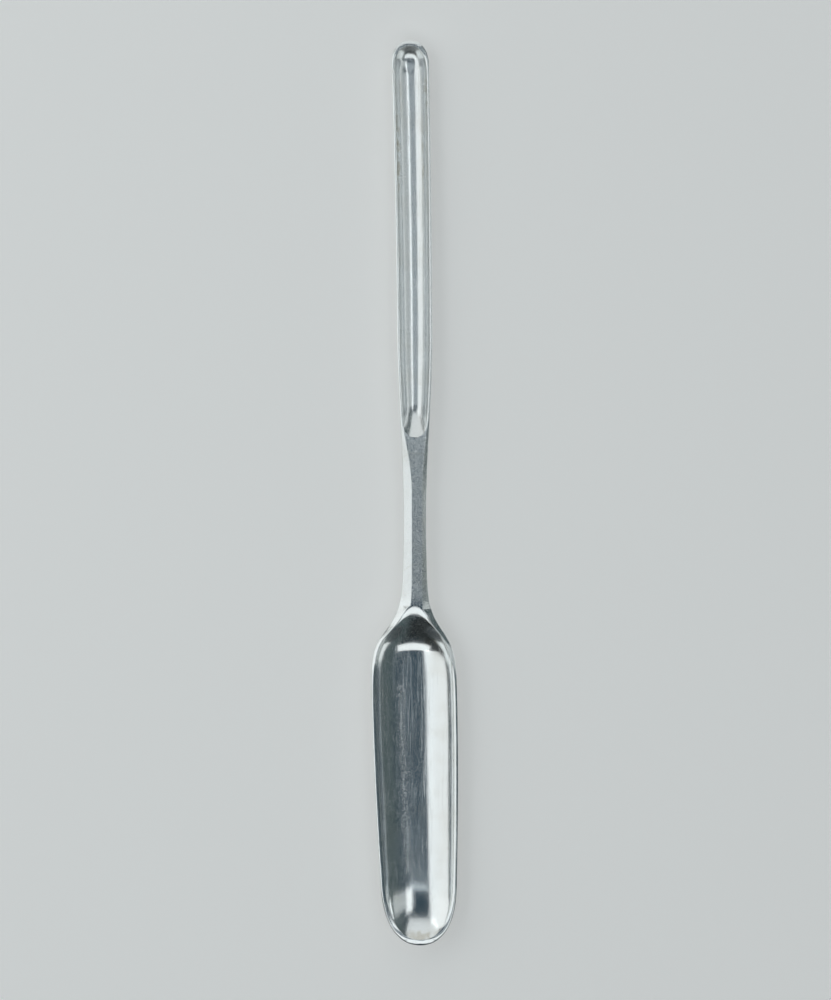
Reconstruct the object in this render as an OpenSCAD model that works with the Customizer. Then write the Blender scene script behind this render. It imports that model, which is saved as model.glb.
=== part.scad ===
// Marrow scoop: a wide scoop and a narrow scoop joined by a bevelled shank.
// It lies on its back along Y, hollows up, with the wide scoop towards -Y.
// Places along it are measured from the wide tip. Sections are square to Y and slant near the joints.

/* [Wide scoop] */
// Length from the wide tip to the point where the hollow ends on the shank
wide_length = 84.6; // [62:0.2:112]
// Greatest width
wide_width = 21.4; // [16:0.1:28]
// Distance of the greatest width from the point of the hollow
wide_widest = 19; // [15:0.5:30]
// How much narrower the sides would be if they ran on to the tip
wide_taper = 4; // [0:0.1:6]
// Length of the rounded tip
wide_tip_round = 14.6; // [8:0.2:24]
// Depth outside, rim to back
wide_depth = 6; // [4.8:0.1:9]
// Thickness of metal under the hollow
wide_floor = 1.2; // [0.8:0.1:2]
// How the sides of the hollow slope: 0.5 makes them upright at the rim, 1 a plain parabola
wide_slope = 0.75; // [0.6:0.05:1]
// Width of the rim along the sides
wide_rim = 1; // [0.6:0.05:1.8]
// Width of the rim at the tip
wide_tip_rim = 1.4; // [0.8:0.05:2.4]
// Length over which the back rises to the tip
wide_tip_rise = 15; // [12:0.5:18]
// How late the end of the hollow turns up out of its floor
wide_tip_swell = 2.5; // [2:0.1:3.5]
// Share of the depth that is lost towards the tip
wide_tip_lift = 0.35; // [0:0.05:0.45]
// Length over which it is lost
wide_lift_run = 40; // [25:1:55]
// Length over which the floor rises to the shank
wide_neck_rise = 11.8; // [8:0.2:20]
// Length of the round point at the end of the hollow
wide_point = 2.8; // [1.5:0.1:6]
// Length of the soft lip round that end of the hollow
wide_lip = 10; // [6:0.5:20]
// Share of its width that the hollow keeps at that lip
wide_lip_width = 0.75; // [0.6:0.05:1]
// Distance of the middle of the hollow's shoulder from its point
hollow_back = 6.3; // [3:0.1:10]
// Distance of the middle of the shoulder outside from the point of the hollow
shoulder_back = 6.1; // [3:0.1:10]
// Length over which the shoulder turns from the shank to the side
shoulder_run = 10.6; // [6:0.2:16]
// Distance of the middle of the heel, under the shoulder, from the point of the hollow
heel_back = 4.6; // [2:0.1:9]
// Length over which the heel rises from the back to the shank
heel_run = 10; // [6:0.2:16]
// Lean of the wide scoop to the right, in degrees
wide_lean = 1.3; // [0:0.1:3]
// Distance from the wide tip of the place where that lean crosses the middle line
wide_lean_pivot = 56; // [40:1:70]

/* [Shank] */
// Length between the two hollows
shank_length = 41.6; // [30:0.2:70]
// Width at the waist
shank_width = 5.6; // [4:0.1:8]
// Width where the wide hollow begins, before the shoulder is added
neck_width = 6.4; // [5:0.1:9]
// Distance of the waist from the point of the wide hollow
shank_waist = 22; // [14:0.5:28]
// Thickness, front to back
shank_thickness = 3.6; // [2.6:0.1:5]
// Width of the bevel along the left of its front, at the waist
shank_left_bevel = 2; // [0.4:0.05:2.4]
// Width of the bevel along the right of its front, at the waist
shank_right_bevel = 1; // [0.4:0.05:1.4]
// How far down its sides the bevels reach
shank_bevel_drop = 0.9; // [0.3:0.05:1.2]
// How far past the waist the bevels stay whole
shank_bevel_lag = 6; // [0:0.5:10]

/* [Narrow scoop] */
// Length from the shank end of its hollow to its tip
narrow_length = 98.8; // [70:0.2:130]
// Width where its sides start to run straight
narrow_width = 8.8; // [7:0.1:13]
// Width just before the tip rounds off
narrow_tip_width = 9.4; // [7:0.1:14]
// How far past the shank end of the hollow the sides go on widening
narrow_flare = 26; // [10:0.5:40]
// Length of the rounded tip
narrow_tip_round = 6.8; // [3:0.1:10]
// Depth outside, rim to back
narrow_depth = 4.5; // [3:0.1:6]
// Thickness of metal under the hollow
narrow_floor = 1; // [0.6:0.1:1.6]
// How the sides of the hollow slope: 0.5 makes them upright at the rim, 1 a plain parabola
narrow_slope = 0.55; // [0.5:0.05:0.9]
// Width of the rim along the sides
narrow_rim = 0.7; // [0.45:0.05:1.2]
// Width of the rim at the tip
narrow_tip_rim = 1.4; // [0.7:0.05:2.2]
// How late the end of the hollow turns up out of its floor
narrow_tip_swell = 2.2; // [1:0.1:2.6]
// Length over which the floor rises to the shank
narrow_root_rise = 8.4; // [4:0.2:12]
// Length of the round end of the hollow at the shank
narrow_root_round = 2.8; // [2:0.1:5]
// How far the tip has sprung to the left
narrow_sway = 1.3; // [0:0.1:4]
// Length of the bend that lets the narrow scoop down to the table
narrow_bend = 18; // [8:1:30]

/* [Edges and joints] */
// Width of the bevel on the outer edge of both rims
rim_bevel = 0.4; // [0.1:0.05:0.6]
// How far down the outside that bevel reaches
rim_bevel_drop = 0.2; // [0.05:0.05:0.4]
// Least width of flat left on a rim between bevel and hollow
rim_flat = 0.2; // [0.1:0.05:0.3]
// Length of the slanted scarf joints
scarf_length = 6; // [4:0.2:7]
// Distance of each scarf joint from the hollow next to it
scarf_inset = 7; // [5:0.2:9]
// Thickness of the solder film
solder_thickness = 0.1; // [0.05:0.01:0.2]

/* [Hidden] */

// Places along the object
overall_length = wide_length + shank_length + narrow_length;
widest_at = wide_length - wide_widest;
shoulder_at = wide_length - shoulder_back;
heel_at = wide_length - heel_back;
waist_at = wide_length + shank_waist;
root_at = wide_length + shank_length;
straight_at = root_at + narrow_flare;
bend_at = root_at - narrow_bend / 2;
touch_at = overall_length - narrow_tip_round;
wide_joint_at = wide_length + scarf_inset;
narrow_joint_at = root_at - scarf_inset;

// Scarf joints: slope of their faces, and the length of the film along the object
scarf_slope = scarf_length / shank_thickness;
film_length = solder_thickness * sqrt(1 + scarf_slope * scarf_slope);

// The narrow scoop slopes down until its back, like the wide one's, lies on the table
bend_slope = (wide_depth - narrow_depth) / (touch_at - bend_at - narrow_bend / 2);

// Shape of the ends and of the sections
tip_power = 2.4;
back_run_out = 1.2;
scoop_fullness = 1.8;
shank_fullness = 3;
lip_softness = 1.4;
turn_steepness = 4;

// Bevels: their greatest share of the depth, and the step over which their depth is evened out
greatest_bevel_share = 0.34;
bevel_evening = 0.8;

// Fineness of the surfaces
tip_rings = 14;
side_rings = 9;
neck_rings = 16;
joint_rings = 6;
shank_rings = 12;
back_steps = 24;
hollow_steps = 20;
last_point = back_steps + 2;

// Curves
function clamp(t) = max(0, min(1, t));
function mix(a, b, t) = a + (b - a) * t;
function ease(t) = let (u = clamp(t)) u * u * (3 - 2 * u);
function dome(t) = sqrt(1 - pow(1 - clamp(t), 2));
function tip_end(t) = pow(1 - pow(1 - clamp(t), tip_power), 1 / tip_power);
function signed_power(v, p) = sign(v) * pow(abs(v), p);

// Share of the wide scoop in a section: 1 along its sides, 0 on the shank
function turning(s, at, run) = 1 / (1 + exp(turn_steepness * (s - at) / run));
function shoulder(s) = turning(s, shoulder_at, shoulder_run);
function heel(s) = turning(s, heel_at, heel_run);

// Share of the narrow scoop in a section: 0 at the waist, 1 where its sides run straight
function flare(s) = ease((s - waist_at) / (straight_at - waist_at));

// Half width of the outline
function wide_side(s) = wide_width / 2 - wide_taper / 2 * pow((widest_at - s) / widest_at, 2);
function neck_half(s) =
    mix(shank_width, neck_width, pow(clamp((waist_at - s) / shank_waist), 2)) / 2;
function narrow_side(s) =
    mix(shank_width, narrow_width, flare(s)) / 2
    + (narrow_tip_width - narrow_width) / 2 * clamp((s - straight_at) / (overall_length - straight_at));
function half_width(s) = s < waist_at
    ? mix(neck_half(s), wide_side(s) * tip_end(s / wide_tip_round), shoulder(s))
    : narrow_side(s) * tip_end((overall_length - s) / narrow_tip_round);

// Depth from the front to the back, and height of the front above the table
function tip_lift(s) = 1 - wide_tip_lift * pow(clamp(1 - s / wide_lift_run), 2);
function wide_side_depth(s) = wide_depth * tip_lift(s) * pow(dome(s / wide_tip_rise), back_run_out);
function narrow_side_depth(s) = mix(shank_thickness, narrow_depth, flare(s));
function depth(s) = s < waist_at
    ? mix(shank_thickness, wide_side_depth(s), heel(s))
    : narrow_side_depth(s) * dome((overall_length - s) / narrow_tip_round);
function bend_drop(u) = u < narrow_bend ? u * u / (2 * narrow_bend) : u - narrow_bend / 2;
function front(s) = wide_depth - bend_slope * bend_drop(max(0, s - bend_at));

// Sideways place of the middle of a section
function sway(s) = s < waist_at
    ? (wide_lean_pivot - s) * tan(wide_lean) * shoulder(s)
    : -narrow_sway * pow(clamp((s - root_at) / narrow_length), 2);

// Share of the shank's bevelled form in a section
function barred(s) = s < waist_at
    ? 1 - shoulder(s)
    : 1 - ease((s - waist_at - shank_bevel_lag) / (root_at - waist_at));
function fullness(s) = mix(scoop_fullness, shank_fullness, barred(s));

// Bevels: on the shank they take up what it gains in width, and on the rims they stop short of the hollow
function bevel_room(s) =
    let (rim = half_width(s) - hollow_half(s))
    max(rim / 2, rim - rim_flat);
function bevel(s, shank_bevel) =
    min(mix(rim_bevel, shank_bevel + half_width(s) - shank_width / 2, barred(s)), bevel_room(s));
function bevel_slope(s) = mix(rim_bevel_drop / rim_bevel, shank_bevel_drop / shank_left_bevel, barred(s));
function bevel_near(s) = [for (k = [-2:2]) bevel(s + k * bevel_evening, shank_left_bevel)];
function mean(values) = values * [for (v = values) 1] / len(values);
function bevel_drop(s) = min(bevel_slope(s) * mean(bevel_near(s)), depth(s) * greatest_bevel_share);

// Point j of the outer section, from the left edge of the front round the back to the right edge
function back_point(s, j) =
    let (
        w = half_width(s),
        b = bevel_drop(s),
        a = 180 * (j - 1) / back_steps,
        p = 2 / fullness(s)
    )
    j == 0 ? [bevel(s, shank_left_bevel) - w, 0]
    : j == last_point ? [w - bevel(s, shank_right_bevel), 0]
    : [-w * signed_power(cos(a), p), -b - (depth(s) - b) * pow(max(0, sin(a)), p)];

// Half width of the wide hollow, and its depth at x from the middle
function wide_lip_share(s) = 1 - ease((wide_length - s) / wide_lip);
function wide_hollow_half(s) =
    (mix(neck_half(s), wide_side(s), turning(s, wide_length - hollow_back, shoulder_run)) - wide_rim)
    * tip_end((s - wide_tip_rim) / wide_tip_round)
    * mix(1, wide_lip_width, wide_lip_share(s))
    * dome((wide_length - s) / wide_point);
function wide_hollow_depth(x, s) =
    let (
        across = min(1, abs(x) / wide_hollow_half(s)),
        along = clamp((wide_tip_rim + wide_tip_round - s) / wide_tip_round)
    )
    (wide_depth - wide_floor)
    * tip_lift(s)
    * (1 - pow(along, wide_tip_swell))
    * ease((wide_length - s) / wide_neck_rise)
    * pow(1 - across * across, wide_slope * (1 + lip_softness * wide_lip_share(s)));

// Half width of the narrow hollow, and its depth at x from the middle
function narrow_hollow_half(s) =
    (narrow_side(s) - narrow_rim)
    * tip_end((overall_length - narrow_tip_rim - s) / narrow_tip_round)
    * dome((s - root_at) / narrow_root_round);
function narrow_hollow_depth(x, s) =
    let (
        across = min(1, abs(x) / (narrow_side(s) - narrow_rim)),
        along = clamp((s - overall_length + narrow_tip_rim) / narrow_tip_round + 1),
        end = pow(along, tip_power),
        out = pow(across, tip_power) + end,
        swell = end > 0 ? mix(1, narrow_tip_swell, end / out) : 1,
        lip = root_at + narrow_root_round * (1 - sqrt(1 - across * across))
    )
    (narrow_side_depth(s) - narrow_floor)
    * pow(max(0, 1 - pow(out, 2 * swell / tip_power)), narrow_slope)
    * sin(90 * clamp((s - lip) / (root_at + narrow_root_rise - lip)));

// The hollow of either scoop
function hollow_half(s) = s < waist_at ? wide_hollow_half(s) : narrow_hollow_half(s);
function hollow_depth(x, s) = s < waist_at ? wide_hollow_depth(x, s) : narrow_hollow_depth(x, s);

// Slant of the sections, from none beside a hollow to the full slope at the joints
function slant(s) =
    scarf_slope * clamp((s - wide_length) / scarf_inset) * clamp((root_at - s) / scarf_inset);
function slanted(s, height) = s + slant(s) * (height + shank_thickness / 2);

// A section point set in place
function place(s, p) = [sway(s) + p[0], s - overall_length / 2, front(s) + p[1]];
function skin_point(s, j) = let (t = slanted(s, back_point(s, j)[1])) place(t, back_point(t, j));
function skin_ring(s) = [for (j = [0:last_point]) skin_point(s, j)];
function front_middle(s) = place(slanted(s, 0), [0, 0]);
function hollow_ring(s) = [
    for (k = [0:hollow_steps])
        let (x = -hollow_half(s) * cos(180 * k / hollow_steps))
        place(s, [x, -hollow_depth(x, s)])
];

// Places of the rings: close together where an end rounds off, wide apart along the sides
function tip_places(length) = [for (i = [1:tip_rings]) length * (1 - cos(90 * i / tip_rings))];
function even_places(from, to, count) = [for (i = [1:count]) mix(from, to, i / count)];
function closing_places(from, to, count) = [for (i = [1:count]) mix(from, to, sin(90 * i / count))];

// Two triangles of a four-cornered patch, and a row of them between two rings
function patch(a, b, c, d) = [[a, b, c], [a, c, d]];
function strip(first, second, steps) = [
    for (j = [0:steps - 1]) each patch(first + j, first + j + 1, second + j + 1, second + j)
];
function fan(middle, first, steps) = [for (j = [0:steps - 1]) [middle, first + j + 1, first + j]];
function turned(faces, turn) = turn ? [for (f = faces) [f[2], f[1], f[0]]] : faces;

// A scoop from its tip to its joint. The rings run inwards from the tip: skins are outer sections,
// hollows are sections of the hollow, and fronts are the middle points of the front past the hollow.
module scoop(tip, skins, hollow_tip, hollows, fronts, turn) {
    width = last_point + 1;
    inner_width = hollow_steps + 1;
    hollow_count = len(hollows);
    point_at = hollow_count;
    hollow_start = 1 + len(skins) * width;
    front_start = hollow_start + 1 + hollow_count * inner_width;
    points = concat([tip], [for (r = skins) each r], [hollow_tip], [for (r = hollows) each r], fronts);
    skin = function (i) 1 + i * width;
    skin_end = function (i) skin(i) + last_point;
    inner = function (i) hollow_start + 1 + i * inner_width;
    inner_end = function (i) inner(i) + hollow_steps;
    middle = function (i) front_start + i;
    faces = concat(
        fan(0, skin(0), last_point),
        [for (i = [0:len(skins) - 2]) each strip(skin(i), skin(i + 1), last_point)],
        [for (f = fan(hollow_start, inner(0), hollow_steps)) [f[2], f[1], f[0]]],
        [for (i = [0:hollow_count - 2]) each strip(inner(i + 1), inner(i), hollow_steps)],
        fan(middle(0), inner(hollow_count - 1), hollow_steps),
        patch(0, skin(0), inner(0), hollow_start),
        patch(0, hollow_start, inner_end(0), skin_end(0)),
        [for (i = [0:hollow_count - 2]) each patch(skin(i), skin(i + 1), inner(i + 1), inner(i))],
        [for (i = [0:hollow_count - 2])
            each patch(inner_end(i), inner_end(i + 1), skin_end(i + 1), skin_end(i))],
        patch(skin(point_at - 1), skin(point_at), middle(0), inner(point_at - 1)),
        patch(inner_end(point_at - 1), middle(0), skin_end(point_at), skin_end(point_at - 1)),
        [for (i = [0:len(fronts) - 2])
            each patch(skin(point_at + i), skin(point_at + i + 1), middle(i + 1), middle(i))],
        [for (i = [0:len(fronts) - 2])
            each patch(middle(i), middle(i + 1), skin_end(point_at + i + 1), skin_end(point_at + i))],
        [for (f = fan(middle(len(fronts) - 1), skin(len(skins) - 1), last_point)) [f[2], f[1], f[0]]]
    );
    polyhedron(points, turned(faces, turn));
}

// A solid length with a slanted face at each end, for the shank and the solder films
module length_between(places) {
    width = last_point + 2;
    count = len(places);
    points = [for (s = places) each concat(skin_ring(s), [front_middle(s)])];
    first = function (i) i * width;
    middle = function (i) i * width + width - 1;
    faces = concat(
        fan(middle(0), 0, last_point),
        [for (i = [0:count - 2]) each strip(first(i), first(i + 1), last_point)],
        [for (i = [0:count - 2]) each patch(first(i), first(i + 1), middle(i + 1), middle(i))],
        [for (i = [0:count - 2])
            each patch(middle(i), middle(i + 1), middle(i + 1) - 1, middle(i) - 1)],
        [for (f = fan(middle(count - 1), first(count - 1), last_point)) [f[2], f[1], f[0]]]
    );
    polyhedron(points, faces);
}

module wide_scoop() {
    neck_from = wide_length - wide_neck_rise;
    end = wide_joint_at - film_length / 2;
    hollow_share = (wide_length - wide_tip_rim) / wide_length;
    skin_places = concat(
        tip_places(wide_tip_round),
        even_places(wide_tip_round, neck_from, side_rings),
        closing_places(neck_from, wide_length, neck_rings)
    );
    hollow_places = [
        for (i = [0:len(skin_places) - 2]) wide_tip_rim + skin_places[i] * hollow_share
    ];
    joint_places = even_places(wide_length, end, joint_rings);
    color("silver")
        scoop(
            place(0, [0, 0]),
            [for (s = concat(skin_places, joint_places)) skin_ring(s)],
            place(wide_tip_rim, [0, 0]),
            [for (s = hollow_places) hollow_ring(s)],
            [for (s = concat([wide_length], joint_places)) front_middle(s)],
            false
        );
}

module shank() {
    start = wide_joint_at + film_length / 2;
    end = narrow_joint_at - film_length / 2;
    color("silver") length_between(concat([start], even_places(start, end, shank_rings)));
}

module narrow_scoop() {
    root_from = root_at + narrow_root_rise;
    end = narrow_joint_at + film_length / 2;
    hollow_share = (narrow_length - narrow_tip_rim) / narrow_length;
    skin_places = concat(
        [for (t = tip_places(narrow_tip_round)) overall_length - t],
        even_places(overall_length - narrow_tip_round, root_from, side_rings),
        closing_places(root_from, root_at, neck_rings)
    );
    hollow_places = [
        for (i = [0:len(skin_places) - 2]) root_at + (skin_places[i] - root_at) * hollow_share
    ];
    joint_places = even_places(root_at, end, joint_rings);
    color("silver")
        scoop(
            place(overall_length, [0, 0]),
            [for (s = concat(skin_places, joint_places)) skin_ring(s)],
            place(overall_length - narrow_tip_rim, [0, 0]),
            [for (s = hollow_places) hollow_ring(s)],
            [for (s = concat([root_at], joint_places)) front_middle(s)],
            true
        );
}

module solder_film(at) {
    color("gainsboro") length_between([at - film_length / 2, at + film_length / 2]);
}

module wide_joint_solder() solder_film(wide_joint_at);

module narrow_joint_solder() solder_film(narrow_joint_at);

wide_scoop();
shank();
narrow_scoop();
wide_joint_solder();
narrow_joint_solder();
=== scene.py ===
import math

import bmesh
import bpy
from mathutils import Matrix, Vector


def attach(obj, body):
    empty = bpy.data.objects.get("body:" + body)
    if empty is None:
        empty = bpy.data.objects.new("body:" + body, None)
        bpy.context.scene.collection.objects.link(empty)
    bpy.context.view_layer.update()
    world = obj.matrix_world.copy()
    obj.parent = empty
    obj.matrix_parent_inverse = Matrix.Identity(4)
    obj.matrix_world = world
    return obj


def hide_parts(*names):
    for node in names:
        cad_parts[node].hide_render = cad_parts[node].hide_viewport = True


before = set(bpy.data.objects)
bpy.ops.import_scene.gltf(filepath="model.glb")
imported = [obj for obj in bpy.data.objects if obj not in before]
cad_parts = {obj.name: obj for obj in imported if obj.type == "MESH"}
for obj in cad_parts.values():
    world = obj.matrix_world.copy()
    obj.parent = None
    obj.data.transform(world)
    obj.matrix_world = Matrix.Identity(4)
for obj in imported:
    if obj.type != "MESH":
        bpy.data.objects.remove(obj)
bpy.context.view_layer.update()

print("frame loaded:", ", ".join(sorted(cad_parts)))

# all the scoop's sizes are in millimetres, measured along it from the wide tip

wideScoop = {
    "length": 84.6,        # wide tip to the point of the hollow
    "width": 21.4,
    "widest": 19.0,        # back from the point of the hollow
    "taper": 4.0,
    "tipRound": 14.6,
    "depth": 6.0,
    "floor": 1.2,
    "slope": 0.75,         # 0.5 would be upright sides, 1 a plain parabola
    "rim": 1.0,
    "tipRim": 1.4,
    "tipRise": 15.0,       # length over which the back rises to the tip
    "backRunOut": 0.6,     # 0.5 would be a round end, more is a flatter one
    "tipCrown": 0.3,       # how far the rim rounds over at the tip
    "tipSwell": 2.5,       # how late the end wall turns up out of the floor
    "tipLift": 0.35,       # share of the depth that is lost towards the tip
    "liftRun": 40.0,
    "neckRise": 11.8,      # length over which the floor rises to the point
    "point": 2.8,
    "lip": 10.0,           # length of the soft lip round the point
    "lipSoftness": 1.4,
    "lipWidth": 0.75,      # share of its width that the hollow keeps there
    "shoulderBack": 6.1,
    "shoulderRun": 10.6,
    "hollowBack": 6.3,     # the same as shoulderBack, for the hollow
    "heelBack": 4.6,
    "heelRun": 10.0,
    "lean": 1.3,           # degrees, to the right
    "leanPivot": 56.0,
}

shankBar = {
    "length": 41.6,
    "width": 5.6,
    "neckWidth": 6.4,
    "waist": 22.0,
    "thickness": 3.6,
    "leftBevel": 2.0,
    "rightBevel": 1.0,
    "bevelSlope": 0.45,
    "bevelLag": 6.0,       # how far past the waist the bevels stay whole
    "fullness": 3.0,       # how square its back is
}

narrowScoop = {
    "length": 98.8,
    "width": 8.8,
    "tipWidth": 9.4,
    "flare": 26.0,
    "tipRound": 6.8,
    "depth": 4.5,
    "floor": 1.0,
    "slope": 0.55,
    "rim": 0.7,
    "tipRim": 1.4,
    "tipCrown": 0.45,
    "tipSwell": 2.2,       # how late the end wall turns up out of the floor
    "nickAt": 217.4,       # a small dent in the left edge
    "nickReach": 0.6,
    "nickDepth": 0.3,
    "nickFade": 1.0,       # how far in from the edge it is lost
    "rootRise": 8.4,       # length over which the floor drops from the shank
    "rootRound": 2.8,
    "sway": 1.3,           # the tip has sprung to the left
    "bend": 18.0,
}

rimEdge = {
    "bevel": 0.4,
    "bevelSlope": 0.5,
    "flat": 0.2,
    "evening": 0.8,        # step over which the depth of the bevels is evened out
    "lipDrop": 0.25,       # how far the rims slope in to the hollows
    "lipRun": 4.0,         # length over which that slope grows from a tip
    "lipEndRun": 8.0,      # and from the shank
    "tipCrownRun": 1.3,
    "crown": 0.4,          # rounding of the rims
    "arris": 0.12,         # rounding of the shank's edges
    "fullness": 1.8,
    "tipPower": 2.4,
    "greatestBevelShare": 0.34,
    "turnSteepness": 4.0,
}

solderJoint = {
    "scarf": 6.0,          # length of the slanted joint
    "inset": 7.0,          # joint to the hollow beside it
    "film": 0.1,
}

mesh = {
    "backSteps": 44,
    "hollowSteps": 56,
    "arcSteps": 5,
    "rings": {             # sections along each length
        "tipRim": 10,
        "wideTip": 48,
        "wideSide": 48,
        "shoulder": 60,
        "shank": 56,
        "root": 40,
        "narrowSide": 70,
        "narrowTip": 44,
    },
    "weld": 0.0004,
    "tiny": 1e-9,          # keeps a division from failing
}

mm = 0.001

overall = wideScoop["length"] + shankBar["length"] + narrowScoop["length"]
pointAt = wideScoop["length"]
widestAt = pointAt - wideScoop["widest"]
tipSideAt = wideScoop["tipRim"] + wideScoop["tipRound"]
footAt = pointAt - wideScoop["neckRise"]
waistAt = pointAt + shankBar["waist"]
rootAt = pointAt + shankBar["length"]
straightAt = rootAt + narrowScoop["flare"]
bendAt = rootAt - narrowScoop["bend"] / 2
touchAt = overall - narrowScoop["tipRound"]
narrowTipAt = overall - narrowScoop["tipRim"]
bendSlope = (wideScoop["depth"] - narrowScoop["depth"]) / (touchAt - bendAt - narrowScoop["bend"] / 2)


def clamp(t):
    return max(0.0, min(1.0, t))


def mix(a, b, t):
    return a + (b - a) * t


def ease(t):
    u = clamp(t)
    return u * u * (3 - 2 * u)


def dome(t):
    return math.sqrt(1 - (1 - clamp(t)) ** 2)


def tipEnd(t):
    power = rimEdge["tipPower"]
    return (1 - (1 - clamp(t)) ** power) ** (1 / power)


def turning(s, back, run):  # 1 along the wide scoop, 0 on the shank
    return 1 / (1 + math.exp(rimEdge["turnSteepness"] * (s - pointAt + back) / run))


def heel(s):
    return turning(s, wideScoop["heelBack"], wideScoop["heelRun"])


def shoulder(s):
    return turning(s, wideScoop["shoulderBack"], wideScoop["shoulderRun"])


def flare(s):
    return ease((s - waistAt) / (straightAt - waistAt))


def wideSide(s):
    return wideScoop["width"] / 2 - wideScoop["taper"] / 2 * ((widestAt - s) / widestAt) ** 2


def neckHalf(s):
    gain = clamp((waistAt - s) / shankBar["waist"]) ** 2
    return mix(shankBar["width"], shankBar["neckWidth"], gain) / 2


def narrowSide(s):
    widening = (narrowScoop["tipWidth"] - narrowScoop["width"]) / 2
    along = clamp((s - straightAt) / (overall - straightAt))
    return mix(shankBar["width"], narrowScoop["width"], flare(s)) / 2 + widening * along


def halfWidth(s):
    if s < waistAt:
        return mix(neckHalf(s), wideSide(s) * tipEnd(s / wideScoop["tipRound"]), shoulder(s))
    return narrowSide(s) * tipEnd((overall - s) / narrowScoop["tipRound"])


def narrowSideDepth(s):
    return mix(shankBar["thickness"], narrowScoop["depth"], flare(s))


def tipLift(s):
    return 1 - wideScoop["tipLift"] * clamp(1 - s / wideScoop["liftRun"]) ** 2


def fullDepth(s):
    if s < waistAt:
        rise = dome(s / wideScoop["tipRise"]) ** (2 * wideScoop["backRunOut"])
        return mix(shankBar["thickness"], wideScoop["depth"] * tipLift(s) * rise, heel(s))
    return narrowSideDepth(s) * dome((overall - s) / narrowScoop["tipRound"])


def front(s):  # the narrow scoop slopes down until both backs lie on the table
    u = max(0.0, s - bendAt)
    bend = narrowScoop["bend"]
    return wideScoop["depth"] - bendSlope * (u * u / (2 * bend) if u < bend else u - bend / 2)


def tipCrown(x, s):  # how far the edge has rounded over at x, s near a tip
    side, scoop = (wideSide(s), wideScoop) if s < waistAt else (narrowSide(s), narrowScoop)
    along = clamp(1 - min(s, overall - s) / scoop["tipRound"]) ** rimEdge["tipPower"]
    out = along + (abs(x) / side) ** rimEdge["tipPower"]
    inset = scoop["tipRound"] * (1 - min(1.0, out) ** (1 / rimEdge["tipPower"]))
    return scoop["tipCrown"] * clamp(1 - inset / rimEdge["tipCrownRun"]) ** 2 * along


def nick(x, s):  # how far the dent near the narrow tip pushes the edge in
    along = clamp(1 - ((s - narrowScoop["nickAt"]) / narrowScoop["nickReach"]) ** 2)
    across = clamp(1 - (narrowSide(s) + x) / narrowScoop["nickFade"])
    return narrowScoop["nickDepth"] * along * across


def sway(s):
    if s < waistAt:
        return (wideScoop["leanPivot"] - s) * math.tan(math.radians(wideScoop["lean"])) * shoulder(s)
    return -narrowScoop["sway"] * clamp((s - rootAt) / narrowScoop["length"]) ** 2


def barred(s):  # 1 on the shank, 0 along the scoops
    if s < waistAt:
        return 1 - shoulder(s)
    return 1 - ease((s - waistAt - shankBar["bevelLag"]) / (rootAt - waistAt))


def hollowHalf(s):  # half width of the hollow at the rims, 0 where there is none
    if wideScoop["tipRim"] < s < pointAt:
        widening = turning(s, wideScoop["hollowBack"], wideScoop["shoulderRun"])
        half = mix(neckHalf(s), wideSide(s), widening) - wideScoop["rim"]
        half *= tipEnd((s - wideScoop["tipRim"]) / wideScoop["tipRound"])
        half *= mix(wideScoop["lipWidth"], 1, ease((pointAt - s) / wideScoop["lip"]))
        return half * dome((pointAt - s) / wideScoop["point"])
    if rootAt < s < narrowTipAt:
        half = narrowSide(s) - narrowScoop["rim"]
        half *= tipEnd((narrowTipAt - s) / narrowScoop["tipRound"])
        return half * dome((s - rootAt) / narrowScoop["rootRound"])
    return 0.0


def hollowDepth(x, s):  # below the rims, at x from the middle
    if s < waistAt:
        across = min(1.0, abs(x) / hollowHalf(s))
        along = clamp((tipSideAt - s) / wideScoop["tipRound"])
        softness = 1 + wideScoop["lipSoftness"] * (1 - ease((pointAt - s) / wideScoop["lip"]))
        deep = (wideScoop["depth"] - wideScoop["floor"]) * tipLift(s)
        deep *= 1 - along ** wideScoop["tipSwell"]
        deep *= ease((pointAt - s) / wideScoop["neckRise"])
        return deep * (1 - across * across) ** (wideScoop["slope"] * softness)
    across = min(1.0, abs(x) / (narrowSide(s) - narrowScoop["rim"]))
    along = clamp((s - narrowTipAt) / narrowScoop["tipRound"] + 1)
    power = rimEdge["tipPower"]
    out = across ** power + along ** power
    swell = mix(1, narrowScoop["tipSwell"], along ** power / max(out, mesh["tiny"]))
    fall = max(0.0, 1 - out ** (2 * swell / power))
    deep = (narrowSideDepth(s) - narrowScoop["floor"]) * fall ** narrowScoop["slope"]
    lip = rootAt + narrowScoop["rootRound"] * (1 - math.sqrt(1 - across * across))
    drop = clamp((s - lip) / (rootAt + narrowScoop["rootRise"] - lip))
    return deep * math.sin(drop * math.pi / 2)


def stepAway(corner, towards, size):  # from a corner along one side of it, half that side at most
    side = towards - corner
    return corner + side * min(0.5, size / max(side.length, mesh["tiny"]))


def roundedCorner(before, corner, after, size):  # points of a soft corner, in order
    before, corner, after = Vector(before), Vector(corner), Vector(after)
    start, end = stepAway(corner, before, size), stepAway(corner, after, size)
    points = []
    for i in range(mesh["arcSteps"] + 1):
        t = i / mesh["arcSteps"]
        points.append(start * (1 - t) ** 2 + corner * 2 * t * (1 - t) + end * t * t)
    return points


def between(a, b):  # two points that keep the flat between two soft corners flat
    return [a.lerp(b, 1 / 3), a.lerp(b, 2 / 3)]


def bevelWidth(s, shankBevel):  # the shank's bevels take up what the neck gains in width
    whole = shankBevel + halfWidth(s) - shankBar["width"] / 2
    rim = halfWidth(s) - hollowHalf(s)
    return min(mix(rimEdge["bevel"], whole, barred(s)), max(rim / 2, rim - rimEdge["flat"]))


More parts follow.
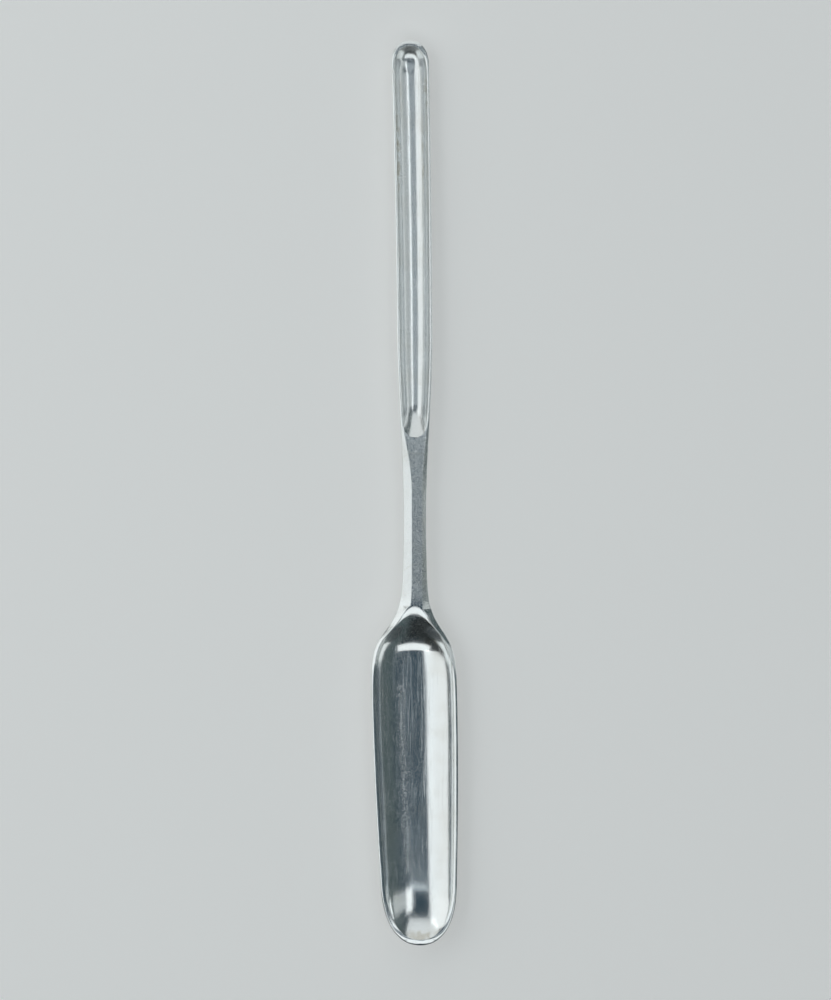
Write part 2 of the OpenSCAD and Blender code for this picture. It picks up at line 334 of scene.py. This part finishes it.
def bevelDrop(s):  # the left bevel keeps its slope, evened out, where it changes width
    near = []
    for step in (-2, -1, 0, 1, 2):
        near.append(bevelWidth(s + rimEdge["evening"] * step, shankBar["leftBevel"]))
    slope = mix(rimEdge["bevelSlope"], shankBar["bevelSlope"], barred(s))
    return min(slope * sum(near) / len(near), fullDepth(s) * rimEdge["greatestBevelShare"])


def lipDrop(s):  # along the sides the crown of the rim slopes in to the hollow
    tip, end = (wideScoop["tipRim"], pointAt) if s < waistAt else (narrowTipAt, rootAt)
    fromTip = ease(abs(s - tip) / rimEdge["lipRun"])
    fromEnd = ease(abs(s - end) / rimEdge["lipEndRun"])
    return rimEdge["lipDrop"] * fromTip * fromEnd


def hollowFloor(x, s):  # depth inside, from the dropped lip down to the same floor
    deep = hollowDepth(x, s)
    return deep + lipDrop(s) * max(0.0, 1 - deep / max(hollowDepth(0, s), mesh["tiny"]))


def halfSection(s, side, shankBevel):  # lip, rim, bevel and side of one edge, lip first
    w = halfWidth(s)
    half = hollowHalf(s)
    size = mix(rimEdge["crown"], rimEdge["arris"], barred(s))
    arris = (side * (w - bevelWidth(s, shankBevel)), 0.0)
    flank = (side * w, -bevelDrop(s))
    if half > 0:
        x = half * math.cos(math.pi / mesh["hollowSteps"])
        inner = (side * x, -hollowFloor(x, s))
        lipCorner = roundedCorner(inner, (side * half, -lipDrop(s)), arris, size)
    else:
        lipCorner = [Vector((0.0, 0.0))] * (mesh["arcSteps"] + 1)
    arrisCorner = roundedCorner(lipCorner[-1], arris, flank, size)
    flankCorner = roundedCorner(arris, flank, backPoint(s, side, 1), size)
    return (lipCorner + between(lipCorner[-1], arrisCorner[0]) + arrisCorner
            + between(arrisCorner[-1], flankCorner[0]) + flankCorner)


def backPoint(s, side, j):  # point j of the back, counted from that side's flank
    drop = bevelDrop(s)
    power = 2 / mix(rimEdge["fullness"], shankBar["fullness"], barred(s))
    a = math.pi * j / mesh["backSteps"]
    across = math.copysign(abs(math.cos(a)) ** power, math.cos(a))
    down = max(0.0, math.sin(a)) ** power
    return (side * halfWidth(s) * across, -drop - (fullDepth(s) - drop) * down)


def section(s):  # round the scoop at s: left edge, back, right edge and hollow
    left = halfSection(s, -1, shankBar["leftBevel"])
    right = halfSection(s, 1, shankBar["rightBevel"])
    back = [Vector(backPoint(s, -1, j)) for j in range(1, mesh["backSteps"])]
    half = hollowHalf(s)
    inside = []
    for k in range(1, mesh["hollowSteps"]):
        x = half * math.cos(math.pi * k / mesh["hollowSteps"])
        inside.append(Vector((x, -hollowFloor(x, s) if half > 0 else 0.0)))
    return left + back + right[::-1] + inside


def spread(start, end, count, packed):  # ring places, close at the start, at the end or even
    places = []
    for i in range(1, count + 1):
        t = i / count
        if packed == "start":
            t = 1 - math.cos(t * math.pi / 2)
        if packed == "end":
            t = math.sin(t * math.pi / 2)
        places.append(mix(start, end, t))
    return places


def ringPlaces():
    rings = mesh["rings"]
    tipRim = wideScoop["tipRim"]
    rootEnd = rootAt + narrowScoop["rootRise"]
    narrowSideEnd = narrowTipAt - narrowScoop["tipRound"]
    return ([0.0] + spread(0, tipRim, rings["tipRim"], "start")
            + spread(tipRim, tipSideAt, rings["wideTip"], "start")
            + spread(tipSideAt, footAt, rings["wideSide"], "even")
            + spread(footAt, pointAt, rings["shoulder"], "end")
            + spread(pointAt, rootAt, rings["shank"], "even")
            + spread(rootAt, rootEnd, rings["root"], "start")
            + spread(rootEnd, narrowSideEnd, rings["narrowSide"], "even")
            + spread(narrowSideEnd, narrowTipAt, rings["narrowTip"], "end")
            + spread(narrowTipAt, overall, rings["tipRim"], "end"))


def buildBlank():  # the whole scoop as one dressed blank, from which the pieces are cut
    bm = bmesh.new()
    profile = bm.verts.layers.int.new("profile")
    hollow = bm.verts.layers.float.new("hollow")
    count = len(section(pointAt))
    firstInside = count - mesh["hollowSteps"] + 1
    ring = bmesh.ops.create_circle(bm, cap_ends=False, radius=1, segments=count)["verts"]
    for i, v in enumerate(ring):
        v[profile] = i
    edges = list(bm.edges)
    places = ringPlaces()
    for n, s in enumerate(places):
        if n > 0:
            grown = bmesh.ops.extrude_edge_only(bm, edges=edges)["geom"]
            ring = [g for g in grown if isinstance(g, bmesh.types.BMVert)]
            fresh = set(ring)
            edges = [g for g in grown if isinstance(g, bmesh.types.BMEdge)
                     and g.verts[0] in fresh and g.verts[1] in fresh]
        points = section(s)
        for v in ring:
            x, z = points[v[profile]]
            v.co = (sway(s) + x + nick(x, s), s - overall / 2, front(s) + z - tipCrown(x, s))
            v[hollow] = 1.0 if v[profile] >= firstInside and hollowHalf(s) > 0 else 0.0
    bmesh.ops.remove_doubles(bm, verts=bm.verts[:], dist=mesh["weld"])
    bmesh.ops.recalc_face_normals(bm, faces=bm.faces[:])
    print("blank:", len(places), "rings of", count, "points")
    return bm


def cutAcross(bm, at, keepBelow):  # scarf cut, with its face closed
    slope = solderJoint["scarf"] / shankBar["thickness"]
    middle = Vector((0, at - overall / 2, front(at) - shankBar["thickness"] / 2))
    normal = Vector((0, 1, -slope)).normalized() * (1 if keepBelow else -1)
    everything = bm.verts[:] + bm.edges[:] + bm.faces[:]
    cut = bmesh.ops.bisect_plane(bm, geom=everything, dist=mesh["weld"] / 10, plane_co=middle,
                                 plane_no=normal, clear_outer=True)["geom_cut"]
    edges = [g for g in cut if isinstance(g, bmesh.types.BMEdge)]
    for e in edges:
        e.smooth = False
    face = bmesh.ops.contextual_create(bm, geom=edges)["faces"]
    bmesh.ops.triangulate(bm, faces=face)


def takePiece(blank, name, start, end):
    bm = blank.copy()
    if end is not None:
        cutAcross(bm, end, True)
    if start is not None:
        cutAcross(bm, start, False)
    bmesh.ops.scale(bm, vec=(mm, mm, mm), verts=bm.verts[:])
    bmesh.ops.recalc_face_normals(bm, faces=bm.faces[:])
    for f in bm.faces:
        f.smooth = True
    data = bpy.data.meshes.new(name)
    bm.to_mesh(data)
    bm.free()
    piece = bpy.data.objects.new(name, data)
    bpy.context.scene.collection.objects.link(piece)
    print(name, len(data.polygons), "faces")
    return piece


def buildPieces():
    blank = buildBlank()
    slope = solderJoint["scarf"] / shankBar["thickness"]
    film = solderJoint["film"] * math.sqrt(1 + slope * slope) / 2
    wideJoint = pointAt + solderJoint["inset"]
    narrowJoint = rootAt - solderJoint["inset"]
    pieces = {
        "wide_scoop": takePiece(blank, "wideTrough", None, wideJoint - film),
        "wide_joint_solder": takePiece(blank, "wideSolder", wideJoint - film, wideJoint + film),
        "shank": takePiece(blank, "bevelledShank", wideJoint + film, narrowJoint - film),
        "narrow_joint_solder": takePiece(blank, "narrowSolder", narrowJoint - film, narrowJoint + film),
        "narrow_scoop": takePiece(blank, "narrowTrough", narrowJoint + film, None),
    }
    blank.free()
    return pieces


# shader groups that the silver and the solder share, all on Object coordinates in metres

def newGroup(name, inputs, outputs):
    tree = bpy.data.node_groups.new(name, "ShaderNodeTree")
    for socket, kind in inputs.items():
        tree.interface.new_socket(name=socket, in_out="INPUT", socket_type="NodeSocket" + kind)
    for socket in outputs:
        tree.interface.new_socket(name=socket, in_out="OUTPUT", socket_type="NodeSocketFloat")
    return tree, tree.nodes.new("NodeGroupInput"), tree.nodes.new("NodeGroupOutput")


def addMath(tree, operation, *values):
    node = tree.nodes.new("ShaderNodeMath")
    node.operation = operation
    for socket, value in zip(node.inputs, values):
        if isinstance(value, (int, float)):
            socket.default_value = value
        else:
            tree.links.new(value, socket)
    return node.outputs[0]


def addRange(tree, value, low, high, toLow=0.0, toHigh=1.0):  # smooth step of a value
    node = tree.nodes.new("ShaderNodeMapRange")
    node.interpolation_type = "SMOOTHSTEP"
    tree.links.new(value, node.inputs["Value"])
    for name, setting in zip(("From Min", "From Max", "To Min", "To Max"), (low, high, toLow, toHigh)):
        if isinstance(setting, (int, float)):
            node.inputs[name].default_value = setting
        else:
            tree.links.new(setting, node.inputs[name])
    return node.outputs["Result"]


def addNoise(tree, vector, scale, detail, stretch=(1, 1, 1), turn=0.0):
    mapping = tree.nodes.new("ShaderNodeMapping")
    mapping.inputs["Scale"].default_value = stretch
    mapping.inputs["Rotation"].default_value = (0, 0, math.radians(turn))
    tree.links.new(vector, mapping.inputs["Vector"])
    noise = tree.nodes.new("ShaderNodeTexNoise")
    noise.inputs["Scale"].default_value = scale
    noise.inputs["Detail"].default_value = detail
    tree.links.new(mapping.outputs["Vector"], noise.inputs["Vector"])
    return noise.outputs["Fac"]


def addAxes(tree, vector):
    node = tree.nodes.new("ShaderNodeSeparateXYZ")
    tree.links.new(vector, node.inputs["Vector"])
    return node.outputs


def addVectorMath(tree, operation, *vectors):
    node = tree.nodes.new("ShaderNodeVectorMath")
    node.operation = operation
    for socket, vector in zip(node.inputs, vectors):
        tree.links.new(vector, socket)
    return node.outputs


def addColorMix(tree, factor, low, high):
    node = tree.nodes.new("ShaderNodeMix")
    node.data_type = "RGBA"
    for name, color in (("A", low), ("B", high)):
        if isinstance(color, tuple):
            node.inputs[name].default_value = color
        else:
            tree.links.new(color, node.inputs[name])
    tree.links.new(factor, node.inputs["Factor"])
    return node.outputs["Result"]


fineGrain = {
    "grainScale": 14000,
    "cloudScale": 2400,
    "cloudShare": 0.55,    # how much the clouds change the share of matter grains
    "cleanLevel": 0.70,    # noise above which a grain is matter, where the share is 0
    "levelFall": 0.40,     # how much lower that is where the share is 1
    "softness": 0.05,
}


def buildFineGrain():  # handling haze: very fine grains, a share of them matter than the metal
    tree, into, out = newGroup("fineGrain", {"Vector": "Vector", "Share": "Float"}, ["Mask", "Cloud"])
    grain = addNoise(tree, into.outputs["Vector"], fineGrain["grainScale"], 1)
    cloud = addNoise(tree, into.outputs["Vector"], fineGrain["cloudScale"], 3)
    swing = addMath(tree, "SUBTRACT", cloud, 0.5)
    share = addMath(tree, "MULTIPLY_ADD", swing, fineGrain["cloudShare"], into.outputs["Share"])
    level = addMath(tree, "MULTIPLY_ADD", share, -fineGrain["levelFall"], fineGrain["cleanLevel"])
    low = addMath(tree, "SUBTRACT", level, fineGrain["softness"])
    high = addMath(tree, "ADD", level, fineGrain["softness"])
    tree.links.new(addRange(tree, grain, low, high), out.inputs["Mask"])
    tree.links.new(cloud, out.inputs["Cloud"])
    return tree


hairScratches = {
    "turns": (-9, 2, 14),  # degrees off the length
    "scale": 3400,
    "stretch": (1, 0.025, 1),
    "level": (0.60, 0.72),
}


def buildHairScratches():  # polishing lines, nearly lengthwise, crossing at a small angle
    tree, into, out = newGroup("hairScratches", {"Vector": "Vector"}, ["Mask"])
    lines = None
    for turn in hairScratches["turns"]:
        noise = addNoise(tree, into.outputs["Vector"], hairScratches["scale"], 2,
                         hairScratches["stretch"], turn)
        line = addRange(tree, noise, *hairScratches["level"])
        lines = line if lines is None else addMath(tree, "MAXIMUM", lines, line)
    tree.links.new(lines, out.inputs["Mask"])
    return tree


lengthEnds = {             # metres along the scoop, where one length's finish turns into the next
    "wideToShank": (-0.029, -0.025),
    "shankToNarrow": (0.011, 0.018),
}


def buildRegions():  # a value for each of the three lengths, blended where the hollows end
    inputs = {"Vector": "Vector", "Wide": "Float", "Shank": "Float", "Narrow": "Float"}
    tree, into, out = newGroup("lengths", inputs, ["Value"])
    along = addAxes(tree, into.outputs["Vector"])["Y"]
    near, far = lengthEnds["wideToShank"]
    toShank = addRange(tree, along, near, far, into.outputs["Wide"], into.outputs["Shank"])
    toNarrow = addRange(tree, along, *lengthEnds["shankToNarrow"])
    rest = addMath(tree, "SUBTRACT", into.outputs["Narrow"], toShank)
    tree.links.new(addMath(tree, "MULTIPLY_ADD", rest, toNarrow, toShank), out.inputs["Value"])
    return tree


tarnishPatch = {
    "fade": (0.3, 1.0),    # from the middle, as a share of its reach
    "scale": 620,
    "level": (0.34, 0.62),
}


def buildPatch():  # a soft-edged broken patch of tarnish
    inputs = {"Vector": "Vector", "Place": "Vector", "Reach": "Vector"}
    tree, into, out = newGroup("tarnishPatch", inputs, ["Mask"])
    away = addVectorMath(tree, "SUBTRACT", into.outputs["Vector"], into.outputs["Place"])["Vector"]
    share = addVectorMath(tree, "DIVIDE", away, into.outputs["Reach"])["Vector"]
    distance = addVectorMath(tree, "LENGTH", share)["Value"]
    inside = addRange(tree, distance, *tarnishPatch["fade"], 1.0, 0.0)
    noise = addNoise(tree, into.outputs["Vector"], tarnishPatch["scale"], 4)
    broken = addRange(tree, noise, *tarnishPatch["level"])
    tree.links.new(addMath(tree, "MULTIPLY", inside, broken), out.inputs["Mask"])
    return tree


knockTrail = {             # places in metres
    "slant": -0.04,        # sideways for its length
    "offset": -0.0057,
    "start": (-0.050, -0.046),
    "end": (-0.097, -0.090),
    "scale": 6500,
    "stretch": (1, 0.7, 1),
    "turn": 25,
    "thinning": 75,        # how fast the knocks grow fewer away from the trail
    "level": (0.58, 0.66),
}


def buildTrail():  # the string of small white knocks down the floor of the wide hollow
    tree, into, out = newGroup("knockTrail", {"Vector": "Vector"}, ["Mask"])
    axes = addAxes(tree, into.outputs["Vector"])
    line = addMath(tree, "MULTIPLY_ADD", axes["Y"], knockTrail["slant"], knockTrail["offset"])
    aside = addMath(tree, "ABSOLUTE", addMath(tree, "SUBTRACT", axes["X"], line))
    begins = addRange(tree, axes["Y"], *knockTrail["start"], 1.0, 0.0)
    ends = addRange(tree, axes["Y"], *knockTrail["end"])
    specks = addNoise(tree, into.outputs["Vector"], knockTrail["scale"], 1,
                      knockTrail["stretch"], knockTrail["turn"])
    thinned = addMath(tree, "MULTIPLY_ADD", aside, -knockTrail["thinning"], specks)
    knocks = addRange(tree, thinned, *knockTrail["level"])
    length = addMath(tree, "MULTIPLY", begins, ends)
    tree.links.new(addMath(tree, "MULTIPLY", length, knocks), out.inputs["Mask"])
    return tree


groups = {
    "grain": buildFineGrain(),
    "scratches": buildHairScratches(),
    "regions": buildRegions(),
    "patch": buildPatch(),
    "trail": buildTrail(),
}
print("shader groups ready")

silverFinish = {
    "color": (0.925, 0.935, 0.93, 1),
    "tarnish": (0.50, 0.42, 0.29, 1),
    "patches": [                      # place and reach in mm, and depth of colour
        ((-4.6, 84.0, 5.0), (2.3, 17.0, 4.0), 0.75),
        ((2.6, 100.0, 5.0), (2.6, 9.0, 4.0), 0.50),
        ((1.9, -110.2, 5.6), (7.0, 1.9, 3.0), 0.45),
        ((3.9, -37.2, 3.0), (1.9, 1.5, 4.0), 0.75),
    ],
    "cloudScale": 170,                # faint clouds of tarnish everywhere
    "cloudLevel": (0.42, 0.75),
    "cloudDepth": 0.10,
    "roughness": (0.15, 0.17, 0.19),  # clean metal on the wide scoop, the shank and the narrow scoop
    "haze": (0.04, 0.38, 0.26),       # share of matter grains on each
    "hazeRoughness": 0.42,            # what a grain adds
    "scratchRoughness": 0.10,
    "knockRoughness": 0.45,
    "unevenScale": 95,                # hand-worked surface, never quite true
    "unevenStretch": (1, 0.4, 1),
    "unevenDepth": 0.00009,           # metres
    "markStrength": 0.5,
    "markDepth": 0.000012,
    "scratchHeight": -0.6,            # against the height of the grain
    "knockHeight": -2.0,
}

solderFinish = dict(silverFinish, color=(0.87, 0.87, 0.84, 1), patches=silverFinish["patches"][:1])


def addGroup(tree, name, vector):
    node = tree.nodes.new("ShaderNodeGroup")
    node.node_tree = groups[name]
    tree.links.new(vector, node.inputs["Vector"])
    return node


def addBump(tree, height, strength, depth):
    node = tree.nodes.new("ShaderNodeBump")
    node.inputs["Strength"].default_value = strength
    node.inputs["Distance"].default_value = depth
    tree.links.new(height, node.inputs["Height"])
    return node


def regionValue(tree, vector, values):
    node = addGroup(tree, "regions", vector)
    for name, value in zip(("Wide", "Shank", "Narrow"), values):
        node.inputs[name].default_value = value
    return node.outputs["Value"]


def silverMaterial(name, finish):
    material = bpy.data.materials.new(name)
    material.use_nodes = True
    tree = material.node_tree
    nodes, links = tree.nodes, tree.links
    shader = nodes["Principled BSDF"]
    shader.inputs["Metallic"].default_value = 1.0
    vector = nodes.new("ShaderNodeTexCoord").outputs["Object"]
    attribute = nodes.new("ShaderNodeAttribute")
    attribute.attribute_name = "hollow"
    hollow = attribute.outputs["Fac"]

    tarnish = None
    for place, reach, depth in finish["patches"]:
        patch = addGroup(tree, "patch", vector)
        patch.inputs["Place"].default_value = [v * mm for v in place]
        patch.inputs["Reach"].default_value = [v * mm for v in reach]
        tint = addMath(tree, "MULTIPLY", patch.outputs["Mask"], depth)
        tarnish = tint if tarnish is None else addMath(tree, "MAXIMUM", tarnish, tint)
    tarnish = addMath(tree, "MULTIPLY", tarnish, hollow)
    noise = addNoise(tree, vector, finish["cloudScale"], 4)
    clouds = addRange(tree, noise, *finish["cloudLevel"], 0.0, finish["cloudDepth"])
    tarnish = addMath(tree, "MAXIMUM", tarnish, clouds)
    color = addColorMix(tree, tarnish, finish["color"], finish["tarnish"])
    links.new(color, shader.inputs["Base Color"])

    grain = addGroup(tree, "grain", vector)
    links.new(regionValue(tree, vector, finish["haze"]), grain.inputs["Share"])
    scratches = addGroup(tree, "scratches", vector).outputs["Mask"]
    knocks = addMath(tree, "MULTIPLY", addGroup(tree, "trail", vector).outputs["Mask"], hollow)
    rough = regionValue(tree, vector, finish["roughness"])
    rough = addMath(tree, "MULTIPLY_ADD", grain.outputs["Mask"], finish["hazeRoughness"], rough)
    rough = addMath(tree, "MULTIPLY_ADD", scratches, finish["scratchRoughness"], rough)
    rough = addMath(tree, "MULTIPLY_ADD", knocks, finish["knockRoughness"], rough)
    links.new(rough, shader.inputs["Roughness"])

    noise = addNoise(tree, vector, finish["unevenScale"], 1, finish["unevenStretch"])
    uneven = addBump(tree, noise, 1.0, finish["unevenDepth"])
    height = addMath(tree, "MULTIPLY_ADD", scratches, finish["scratchHeight"], grain.outputs["Cloud"])
    height = addMath(tree, "MULTIPLY_ADD", knocks, finish["knockHeight"], height)
    marks = addBump(tree, height, finish["markStrength"], finish["markDepth"])
    links.new(uneven.outputs["Normal"], marks.inputs["Normal"])
    links.new(marks.outputs["Normal"], shader.inputs["Normal"])
    return material


pieces = buildPieces()
finishes = {
    "silver": silverMaterial("polishedSilver", silverFinish),
    "solder": silverMaterial("dressedSolder", solderFinish),
}
for node, piece in pieces.items():
    slot = "solder" if "solder" in node else "silver"
    piece.data.materials.append(finishes[slot])
    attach(piece, "root")
    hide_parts(node)
print("pieces dressed")

paleFloor = {
    "size": 8.0,
    "color": (0.76, 0.76, 0.75, 1),
    "roughness": 0.9,
    "glow": 0.30,
}


def buildFloor():
    bm = bmesh.new()
    bmesh.ops.create_grid(bm, x_segments=1, y_segments=1, size=paleFloor["size"] / 2)
    data = bpy.data.meshes.new("paleFloor")
    bm.to_mesh(data)
    bm.free()
    floor = bpy.data.objects.new("paleFloor", data)
    bpy.context.scene.collection.objects.link(floor)
    material = bpy.data.materials.new("paleFloor")
    material.use_nodes = True
    tree = material.node_tree
    shader = tree.nodes["Principled BSDF"]
    shader.inputs["Base Color"].default_value = paleFloor["color"]
    shader.inputs["Roughness"].default_value = paleFloor["roughness"]
    shader.inputs["Emission Color"].default_value = paleFloor["color"]
    path = tree.nodes.new("ShaderNodeLightPath").outputs
    seen = addMath(tree, "MAXIMUM", path["Is Camera Ray"], path["Is Glossy Ray"])
    seen = addMath(tree, "MAXIMUM", seen, path["Is Transmission Ray"])
    glow = addMath(tree, "MULTIPLY", seen, paleFloor["glow"])
    tree.links.new(glow, shader.inputs["Emission Strength"])
    data.materials.append(material)


lampColor = (0.955, 1.0, 1.0)
lamps = {  # place, the way the panel's back points, width and height, brightness of the panel
    "leftSoftbox": {"place": (-0.70, -0.115, 0.55), "back": (-0.70, 0, 0.55),
                    "size": (0.25, 0.94), "light": 0.86},
    "farSoftbox": {"place": (-0.76, 0.295, 0.475), "back": (-0.70, 0, 0.55),
                   "size": (0.57, 1.13), "light": 0.92},
    "farPanel": {"place": (-0.20, 0.80, 0.64), "back": (0, 1, 0),
                 "size": (1.40, 1.28), "light": 0.70},
    "rightPanel": {"place": (0.41, 0.24, 0.99), "back": (0.41, 0, 0.99),
                   "size": (0.46, 0.28), "light": 1.12},
    "rightFill": {"place": (0.60, 0.13, 0.52), "back": (0.60, 0, 0.52),
                  "size": (0.24, 0.52), "light": 0.42},
    "lowPanel": {"place": (0.80, 0.13, 0.09), "back": (0.80, 0, 0.09),
                 "size": (0.20, 0.18), "light": 1.2},
    "nearPanel": {"place": (0, -0.48, 0.88), "back": (0, -0.48, 0.88),
                  "size": (1.7, 0.56), "light": 0.94},
}


def buildLamps():
    for name, lamp in lamps.items():
        data = bpy.data.lights.new(name, "AREA")
        data.shape = "RECTANGLE"
        data.size, data.size_y = lamp["size"]
        data.energy = lamp["light"] * math.pi * data.size * data.size_y
        data.color = lampColor
        lampObject = bpy.data.objects.new(name, data)
        lampObject.location = lamp["place"]
        lampObject.rotation_euler = Vector(lamp["back"]).to_track_quat("Z", "Y").to_euler()
        bpy.context.scene.collection.objects.link(lampObject)


dimRoom = {                # colours, and the parts of a unit direction over which they blend
    "lowDown": (0.018, 0.022, 0.023, 1),
    "rightSide": (0.070, 0.095, 0.100, 1),
    "rightSideX": (0.1, 0.7),
    "overhead": (0.010, 0.032, 0.052, 1),
    "overheadZ": (0.45, 0.95),
    "ceiling": (0.66, 0.75, 0.80, 1),  # a pale patch, a little past the middle
    "ceilingNearY": (0.035, 0.065),
    "ceilingFarY": (0.105, 0.14),
    "ceilingZ": (0.90, 0.97),
}


def buildWorld():
    world = bpy.data.worlds.new("studio")
    world.use_nodes = True
    tree = world.node_tree
    axes = addAxes(tree, tree.nodes.new("ShaderNodeTexCoord").outputs["Generated"])
    rightward = addRange(tree, axes["X"], *dimRoom["rightSideX"])
    upward = addRange(tree, axes["Z"], *dimRoom["overheadZ"])
    patch = addMath(tree, "MULTIPLY", addRange(tree, axes["Y"], *dimRoom["ceilingNearY"]),
                    addRange(tree, axes["Y"], *dimRoom["ceilingFarY"], 1, 0))
    patch = addMath(tree, "MULTIPLY", patch, addRange(tree, axes["Z"], *dimRoom["ceilingZ"]))
    color = addColorMix(tree, rightward, dimRoom["lowDown"], dimRoom["rightSide"])
    color = addColorMix(tree, upward, color, dimRoom["overhead"])
    color = addColorMix(tree, patch, color, dimRoom["ceiling"])
    tree.links.new(color, tree.nodes["Background"].inputs["Color"])
    bpy.context.scene.world = world


view = {
    "height": 1.2,           # metres, straight above
    "place": (0.12, -1.86),  # mm under the middle of the picture
    "frameHeight": 248.34,   # mm from bottom to top of the picture, at the rims
    "sensor": 24.0,
}


def buildCamera():
    data = bpy.data.cameras.new("overhead")
    data.sensor_fit = "VERTICAL"
    data.sensor_height = view["sensor"]
    distance = view["height"] / mm - wideScoop["depth"]
    data.lens = view["sensor"] * distance / view["frameHeight"]
    camera = bpy.data.objects.new("overhead", data)
    camera.location = (view["place"][0] * mm, view["place"][1] * mm, view["height"])
    bpy.context.scene.collection.objects.link(camera)
    bpy.context.scene.camera = camera


buildFloor()
buildLamps()
buildWorld()
buildCamera()
bpy.context.scene.view_settings.view_transform = "Standard"
print("studio ready")
